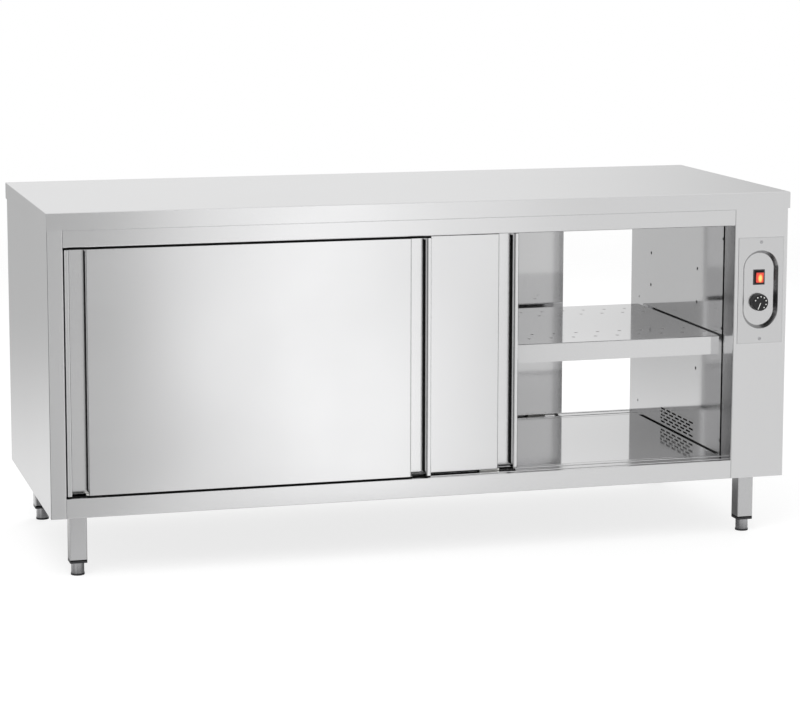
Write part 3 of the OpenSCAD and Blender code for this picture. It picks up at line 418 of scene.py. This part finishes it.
close(place.node("ShaderNodeBsdfPrincipled", None, {
    "Base Color": weld.blend(bright["colour"] + (1,), weld_colour),
    "Metallic": bright["metal"],
    "Roughness": 0.08 + 0.03 * (cloud - 0.5) + 0.3 * weld,
    "Normal": streak.bump(smooth["brushing"], Normal=dimple),
}))
dress(shelf_steel, "shelf")
dress(bright_along, "shelf_stiffener")


# Legs: square satin tube with a black plastic plug in the lower end.
# Each foot screws into the plug, a plated barrel on a black pad.
leg_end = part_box("leg_front_left")[0].z
end_shade_start, end_shade_full = 0.0030, 0.0026


def leg_end_shade(place):
    """Painted shade, in black, reaching a little way up the outside of the tube from its lower end."""
    return place.axis("Z").step(leg_end + end_shade_start, leg_end + end_shade_full)


# Leg steel: black painted shade round the tube's lower end.
leg_steel = sheet_steel("leg_steel", along_z, (0.66, 0.66, 0.665), 0.24, 5e-6, 0.0, dark=leg_end_shade)
dress(leg_steel, "leg_front_left", "leg_front_right", "leg_rear_left", "leg_rear_right")
plastic_black = (0.025, 0.025, 0.028)
black_plastic = all_over("black_plastic", fine_plastic, plastic_black, 0.45)
dress(black_plastic, "leg_caps", "cable_gland")
foot_finish, place = material("foot_metal_and_pad")
pad_top = (0.0042, 0.0046)
pad, barrel = fine_plastic(place, plastic_black, 0.5), plain_metal(place, (0.55, 0.55, 0.56), 0.26)
close(place.axis("Z").step(*pad_top).shade(pad, barrel))
dress(foot_finish, *("foot_" + corner for corner in ("front_left", "front_right", "rear_left", "rear_right")))


# Control plate: satin sheet with an oval dish pressed into it, held on the column by two screws.
# Switch and knob sit in the dish, on the plate's middle line.
plate_lo, plate_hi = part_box("control_plate")
control_x, plate_y, plate_z = 0.829, -0.345, 0.611
edge_line, edge_shade = 0.0007, 0.6
wall_outer, wall_inner, wall_shade = (-0.3446, -0.3434), (-0.3344, -0.3356), 0.5


def plate_shade(place):
    """Painted shade: a fine dark line all round the plate's sheared edge, and a darker band on the drawn wall
    of the dish.
    """
    x, y, z = (place.axis(name) for name in "XYZ")
    sides = x.step(plate_lo.x + edge_line, plate_lo.x) + x.step(plate_hi.x - edge_line, plate_hi.x)
    ends = z.step(plate_lo.z + edge_line, plate_lo.z) + z.step(plate_hi.z - edge_line, plate_hi.z)
    edge = (sides + ends).maths("MINIMUM", 1.0)
    wall = y.step(*wall_outer) * y.step(*wall_inner)
    return edge_shade * edge + wall_shade * wall


# Plate steel: painted shade along the plate's edge and on the dish's wall.
plate_steel = sheet_steel("plate_steel", along_z, (0.77, 0.77, 0.775), 0.20, 4e-6, 0.0, dark=plate_shade)
dress(plate_steel, "control_plate")


# Knob: a turned drum of black plastic on the thermostat's spindle, with seven printed dots and a pointer.
# Its side is ribbed for the grip, and its front is sunk a little within a rounded rim.
def closed_shell(name, stacks, finish, body):
    """Stacks is an array of shells by rings by points by xyz. Each ring is joined to the next by quads, and
    the first and last rings are closed by fans to their middles, so every shell is a closed surface."""
    shells, rings, points, _ = stacks.shape
    middles = stacks[:, [0, -1]].mean(2)
    vertices = np.concatenate([stacks.reshape(shells, -1, 3), middles], 1)
    i, j = np.meshgrid(np.arange(rings - 1), np.arange(points), indexing="ij")
    k = (j + 1) % points
    quads = np.stack([i * points + j, i * points + k, (i + 1) * points + k, (i + 1) * points + j], -1)
    quads = quads.reshape(-1, 4)
    rim = np.arange(points)
    turn = (rim + 1) % points
    last = (rings - 1) * points
    start = np.stack([np.full(points, rings * points), turn, rim], 1)
    end = np.stack([np.full(points, rings * points + 1), last + rim, last + turn], 1)
    corners = vertices[0]
    halves = np.concatenate([quads[:, [0, 1, 2]], quads[:, [0, 2, 3]], start, end])
    a, b, c = (corners[halves[:, n]] for n in range(3))
    if (a * np.cross(b, c)).sum() < 0:
        quads, start, end = quads[:, ::-1], start[:, ::-1], end[:, ::-1]
    faces = []
    for shell in range(shells):
        offset = shell * vertices.shape[1]
        faces += (quads + offset).tolist() + (start + offset).tolist() + (end + offset).tolist()
    mesh = bpy.data.meshes.new(name)
    mesh.from_pydata(vertices.reshape(-1, 3).tolist(), [], faces)
    mesh.polygons.foreach_set("use_smooth", [True] * len(faces))
    mesh.materials.append(finish)
    piece = bpy.data.objects.new(name, mesh)
    scene.collection.objects.link(piece)
    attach(piece, body)
    return piece


def turned(profile, centre, points, ribs, rib):
    """Rings of a solid turned about Y: profile rows are radius, depth and the share of the ribs, and the
    radius waves by that share of rib in so many ribs round the side."""
    angle = np.linspace(0, 2 * np.pi, points, endpoint=False)
    radius = profile[:, None, 0] + rib * profile[:, None, 2] * np.cos(ribs * angle)[None]
    return np.stack([
        centre[0] + radius * np.sin(angle),
        np.broadcast_to(profile[:, None, 1], radius.shape),
        centre[2] + radius * np.cos(angle),
    ], -1)[None]


knob_at = (control_x, -0.334, 0.581)
side_points, rib_count, rib_depth = 144, 36, 0.00025
round_r = 0.0021
corner = np.linspace(0, np.pi / 2, 7)
knob_profile = np.concatenate([
    [[0.003, -0.3200, 0], [0.003, -0.3350, 0], [0.0195, -0.3350, 0], [0.0208, -0.3353, 0.2]],
    [[0.0210, -0.3362, 1], [0.0209, -0.3385, 1], [0.0206, -0.3420, 1], [0.0203, -0.3455, 1]],
    np.stack([0.0181 + round_r * np.cos(corner), -0.3467 - round_r * np.sin(corner), np.cos(corner)], 1),
    [[0.0172, -0.3488, 0], [0.0168, -0.3485, 0]],
    [[0.0120, -0.3484, 0], [0.0050, -0.3484, 0], [0.001, -0.3484, 0]],
])
knob_plastic = all_over("knob_plastic", fine_plastic, (0.007, 0.007, 0.008), 0.42)
knob_rings = turned(knob_profile, knob_at, side_points, rib_count, rib_depth)
knob = closed_shell("knob_drum", knob_rings, knob_plastic, "knob")
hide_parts("control_knob")


def printed_mark(start, end, radius, depth):
    """A low mound over the line from start to end: a point lies share times the radius from the line's near
    end, and the mound's height falls with the square of the share."""
    angle = np.linspace(0, 2 * np.pi, 24, endpoint=False)
    share = np.array([1.0, 0.98, 0.85, 0.6, 0.3])[:, None]
    over = np.array([-0.6, 0.0, 0.55, 0.85, 1.0])[:, None]
    mound = 0.00012
    line = np.array(end) - np.array(start)
    along = line / (np.linalg.norm(line) or 1)
    ahead = np.sin(angle) * along[0] + np.cos(angle) * along[1] >= 0
    base = np.where(ahead[:, None], end, start)
    return np.stack([
        base[None, :, 0] + radius * share * np.sin(angle),
        depth - mound * over + 0 * angle,
        base[None, :, 1] + radius * share * np.cos(angle),
    ], -1)


def on_dial(clock, radius):
    """The place at a clock angle in degrees and a radius, as width and height."""
    return (knob_at[0] + radius * sin(radians(clock)), knob_at[2] + radius * cos(radians(clock)))


mark_depth = -0.3487
first_dot, dot_step, dot_ring, dot_r = 292.5, 35, 0.0148, 0.0016
dots = [on_dial(first_dot + dot_step * n, dot_ring) for n in range(7)]
dots = [printed_mark(dot, dot, dot_r, mark_depth) for dot in dots]
pointer_clock, pointer_r = 202.5, 0.0009
pointer = (on_dial(pointer_clock, reach) for reach in (0.0015, 0.0170))
dots.append(printed_mark(*pointer, pointer_r, mark_depth))
white_print = all_over("white_print", fine_plastic, (0.84, 0.84, 0.82), 0.5)
marks = closed_shell("knob_marks", np.stack(dots), white_print, "knob")


# Rocker: clear red plastic over a glow lamp, snapped into the black bezel, its face hollowed for the finger.
# The lamp shows as a warm spot low in the lens, and the rocker's sides are dark.
dress(black_plastic, "switch_bezel")
rocker_lo, rocker_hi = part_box("rocker")
half_w = (rocker_hi.x - rocker_lo.x) / 2
half_h = (rocker_hi.z - rocker_lo.z) / 2
angle = np.linspace(0, 2 * np.pi, 80, endpoint=False)
reach = (np.abs(np.cos(angle)) ** 9 + np.abs(np.sin(angle)) ** 9) ** (-1 / 9)
share = np.array([1, 1, 1, 0.985, 0.95, 0.90, 0.80, 0.6, 0.4, 0.2])[:, None]
depth = np.array([0.0, 0.004, 0.0085, 0.0092, 0.0097, 0.0099, 0.0099, 0.0099, 0.0099, 0.0099])[:, None]
across = half_w * share * reach * np.cos(angle)
upward = half_h * share * reach * np.sin(angle)
front = depth > 0.005
hollow, lean, seat_y, rocker_z = 0.0011, 0.08, -0.3315, 0.642
dip = (hollow * (1 - (upward / half_h) ** 2) - lean * upward) * front
rocker_rings = np.stack([control_x + across, seat_y - depth + dip, rocker_z + upward], -1)
lit_plastic, place = material("lit_plastic")
x, y, z = (place.axis(name) for name in "XYZ")
haze = place.noise(400.0, 2.0)
lens_front, lens_side = (-0.3392, -0.3402), (0.0102, 0.0094)
lens_bottom, lens_top = (0.6265, 0.6275), (0.6545, 0.6525)
lens_mask = y.step(*lens_front) * (x - control_x).maths("ABSOLUTE").step(*lens_side)
lens_mask = lens_mask * z.step(*lens_bottom) * z.step(*lens_top)
spot_x, spot_z, spot_squash, spot_edge, spot_core = 0.8302, 0.6395, 0.55, 0.0068, 0.0022
off_x = x - spot_x
off_z = spot_squash * (z - spot_z)
warm = (off_x * off_x + off_z * off_z).maths("SQRT").step(spot_edge, spot_core)
lens_colour = warm.blend((0.60, 0.05, 0.03, 1), (0.95, 0.45, 0.12, 1))
lens_light = warm.blend((0.42, 0.03, 0.02, 1), (1.0, 0.55, 0.16, 1))
close(place.node("ShaderNodeBsdfPrincipled", None, {
    "Base Color": lens_mask.blend((0.02, 0.008, 0.008, 1), lens_colour),
    "Roughness": 0.2 + 0.1 * (haze - 0.5),
    "Emission Color": lens_mask.blend((0, 0, 0, 1), lens_light),
    "Emission Strength": 0.7,
    "Coat Weight": 0.3,
}))
rocker = closed_shell("rocker_cap", rocker_rings[None], lit_plastic, "rocker")
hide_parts("rocker")


# Screws: zinc plated domes with a cross recess, through the walls, the control plate and the right cover.
# The two in the control plate are a size larger.
def dome_screw(centre, normal, radius, rise):
    """A spherical cap on the surface at centre: its height over the rim falls with the square of the radius,
    less a cross-shaped recess with sloping sides."""
    angle = np.linspace(0, 2 * np.pi, 40, endpoint=False)
    share = np.array([1.0, 1.0, 0.94, 0.82, 0.68, 0.56, 0.46, 0.36, 0.27, 0.18, 0.09])[:, None]
    u = radius * share * np.cos(angle)
    v = radius * share * np.sin(angle)
    near = np.minimum(np.abs(u), np.abs(v)) / radius
    far = np.maximum(np.abs(u), np.abs(v)) / radius
    arm_half, arm_reach, slope, cut_share, buried = 0.24, 0.58, 0.1, 0.55, -0.0004
    cut = np.clip((arm_half - near) / slope, 0, 1) * np.clip((arm_reach - far) / slope, 0, 1)
    over = rise * (1 - share**2) - cut_share * rise * cut
    over[0] = buried
    up = np.array([0, 0, 1.0])
    side = np.cross(up, normal)
    return np.array(centre) + u[..., None] * side + v[..., None] * up + over[..., None] * np.array(normal)


wall_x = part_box("inner_wall_right")[0].x
left_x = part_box("inner_wall_left")[1].x
cover_x, plate_screw = 0.898, 0.118
wall_z, cover_z = (0.230, 0.5095, 0.730), (0.21, 0.48, 0.75)
small, large = (0.004, 0.0015), (0.0046, 0.0021)
heads = [dome_screw((wall_x, y, z), (-1, 0, 0), *small) for z in wall_z for y in (-0.272, 0.283)]
heads += [dome_screw((left_x, y, z), (1, 0, 0), *small) for z in wall_z for y in (-0.272, 0.272)]
heads += [dome_screw((control_x, plate_y, plate_z + s * plate_screw), (0, -1, 0), *large) for s in (-1, 1)]
heads += [dome_screw((cover_x, y, z), (1, 0, 0), *small) for z in cover_z for y in (-0.314, 0.314)]
screw_steel = all_over("screw_steel", plain_metal, (0.60, 0.60, 0.61), 0.16)
screws = closed_shell("screw_heads", np.stack(heads), screw_steel, "cabinet")
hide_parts("panel_screws")


# Joint shade: painted shade as a bar of dead black in the joint between each front jamb and the inner wall
# behind it. It touches both sheets, and stands half a millimetre proud of the wall.
# A dead black, nearly unreflecting material for the painted shade bars and strips.
shade_black, place = material("painted_shade_black")
shade_mottle = place.noise(300.0, 3.0)
close(place.node("ShaderNodeBsdfPrincipled", None, {
    "Base Color": shade_mottle.blend((0.002, 0.002, 0.002, 1), (0.006, 0.006, 0.006, 1)),
    "Roughness": 0.7 + 0.2 * shade_mottle,
    "Specular IOR Level": 0.08,
}))
around = np.linspace(0, 2 * np.pi, 16, endpoint=False)
shade_bar_z = np.array([0.1953, 0.4950, 0.7950])[:, None]
joint_y, half_wide, half_thick, sunk = -0.2797, 0.0052, 0.0008, 0.0003
shade_bar_y = joint_y + half_wide * np.cos(around) + 0 * shade_bar_z
shade_bars = [
    np.stack([x + half_thick * np.sin(around) + 0 * shade_bar_z, shade_bar_y, shade_bar_z + 0 * around], -1)
    for x in (left_x - sunk, wall_x + sunk)
]
joint_shade = closed_shell("joint_painted_shade", np.stack(shade_bars), shade_black, "cabinet")


# Door shade strips: black painted shade on the two walls of every finger channel, and along the door's top
# and bottom edges, where it fills the gaps to the head rail and the sill. The strips sit on the door's skin.
def strip(lo, hi):
    """A bar along Z or X between two corners, its outline a superellipse of the sixth power."""
    lo, hi = np.minimum(lo, hi), np.maximum(lo, hi)
    axis = int(np.argmax(hi - lo))
    across = [n for n in range(3) if n != axis]
    angle = np.linspace(0, 2 * np.pi, 32, endpoint=False)
    reach = (np.abs(np.cos(angle)) ** 6 + np.abs(np.sin(angle)) ** 6) ** (-1 / 6)
    size = np.array([0.6, 1, 1, 0.6])[:, None] * reach / 2
    bevel = 0.0004
    bar = np.empty((4, 32, 3))
    bar[..., across[0]] = (lo + hi)[across[0]] / 2 + (hi - lo)[across[0]] * size * np.cos(angle)
    bar[..., across[1]] = (lo + hi)[across[1]] / 2 + (hi - lo)[across[1]] * size * np.sin(angle)
    bar[..., axis] = np.array([lo[axis], lo[axis] + bevel, hi[axis] - bevel, hi[axis]])[:, None]
    return bar


channel_near, channel_far = 0.011, 0.049
wall_from, wall_to, wall_short = 0.0158, 0.0277, 0.006
stuck, proud = 0.0003, 0.0007
edge_thick, edge_high, edge_out, edge_lap, edge_short = 0.0028, 0.0046, 0.0042, 0.0004, 0.001
for name in door_names:
    lo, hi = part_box(name + "_skin")
    face, inward = (lo.y, 1) if lo.y < 0 else (hi.y, -1)
    walls = (
        (lo.x + channel_near, 1), (lo.x + channel_far, -1), (hi.x - channel_far, 1), (hi.x - channel_near, -1)
    )
    front_y, rear_y = face + inward * wall_from, face + inward * wall_to
    upright = [
        strip((x - side * stuck, front_y, lo.z + wall_short), (x + side * proud, rear_y, hi.z - wall_short))
        for x, side in walls
    ]
    back = 0.0012 if "outer" in name else 0.0110
    front_y, rear_y = face + inward * back, face + inward * (back + edge_thick)
    lying = [
        strip((lo.x + edge_short, front_y, z), (hi.x - edge_short, rear_y, z + edge_high))
        for z in (lo.z - edge_out, hi.z - edge_lap)
    ]
    for side, bars in (("upright", upright), ("lying", lying)):
        strips = closed_shell(name + "_painted_shade_" + side, np.stack(bars), shade_black, name)


# Hot air unit in the column: a black cross-flow wheel in a zinc scroll, and a copper sheathed heater
# in its duct, darkened by use. Both are held in the housing.
wheel_plastic = all_over("wheel_plastic", fine_plastic, (0.035, 0.035, 0.038), 0.5)
dress(wheel_plastic, "blower_wheel")
heater_tube = all_over("heater_tube", plain_metal, (0.22, 0.16, 0.13), 0.35)
dress(heater_tube, "heater_element")
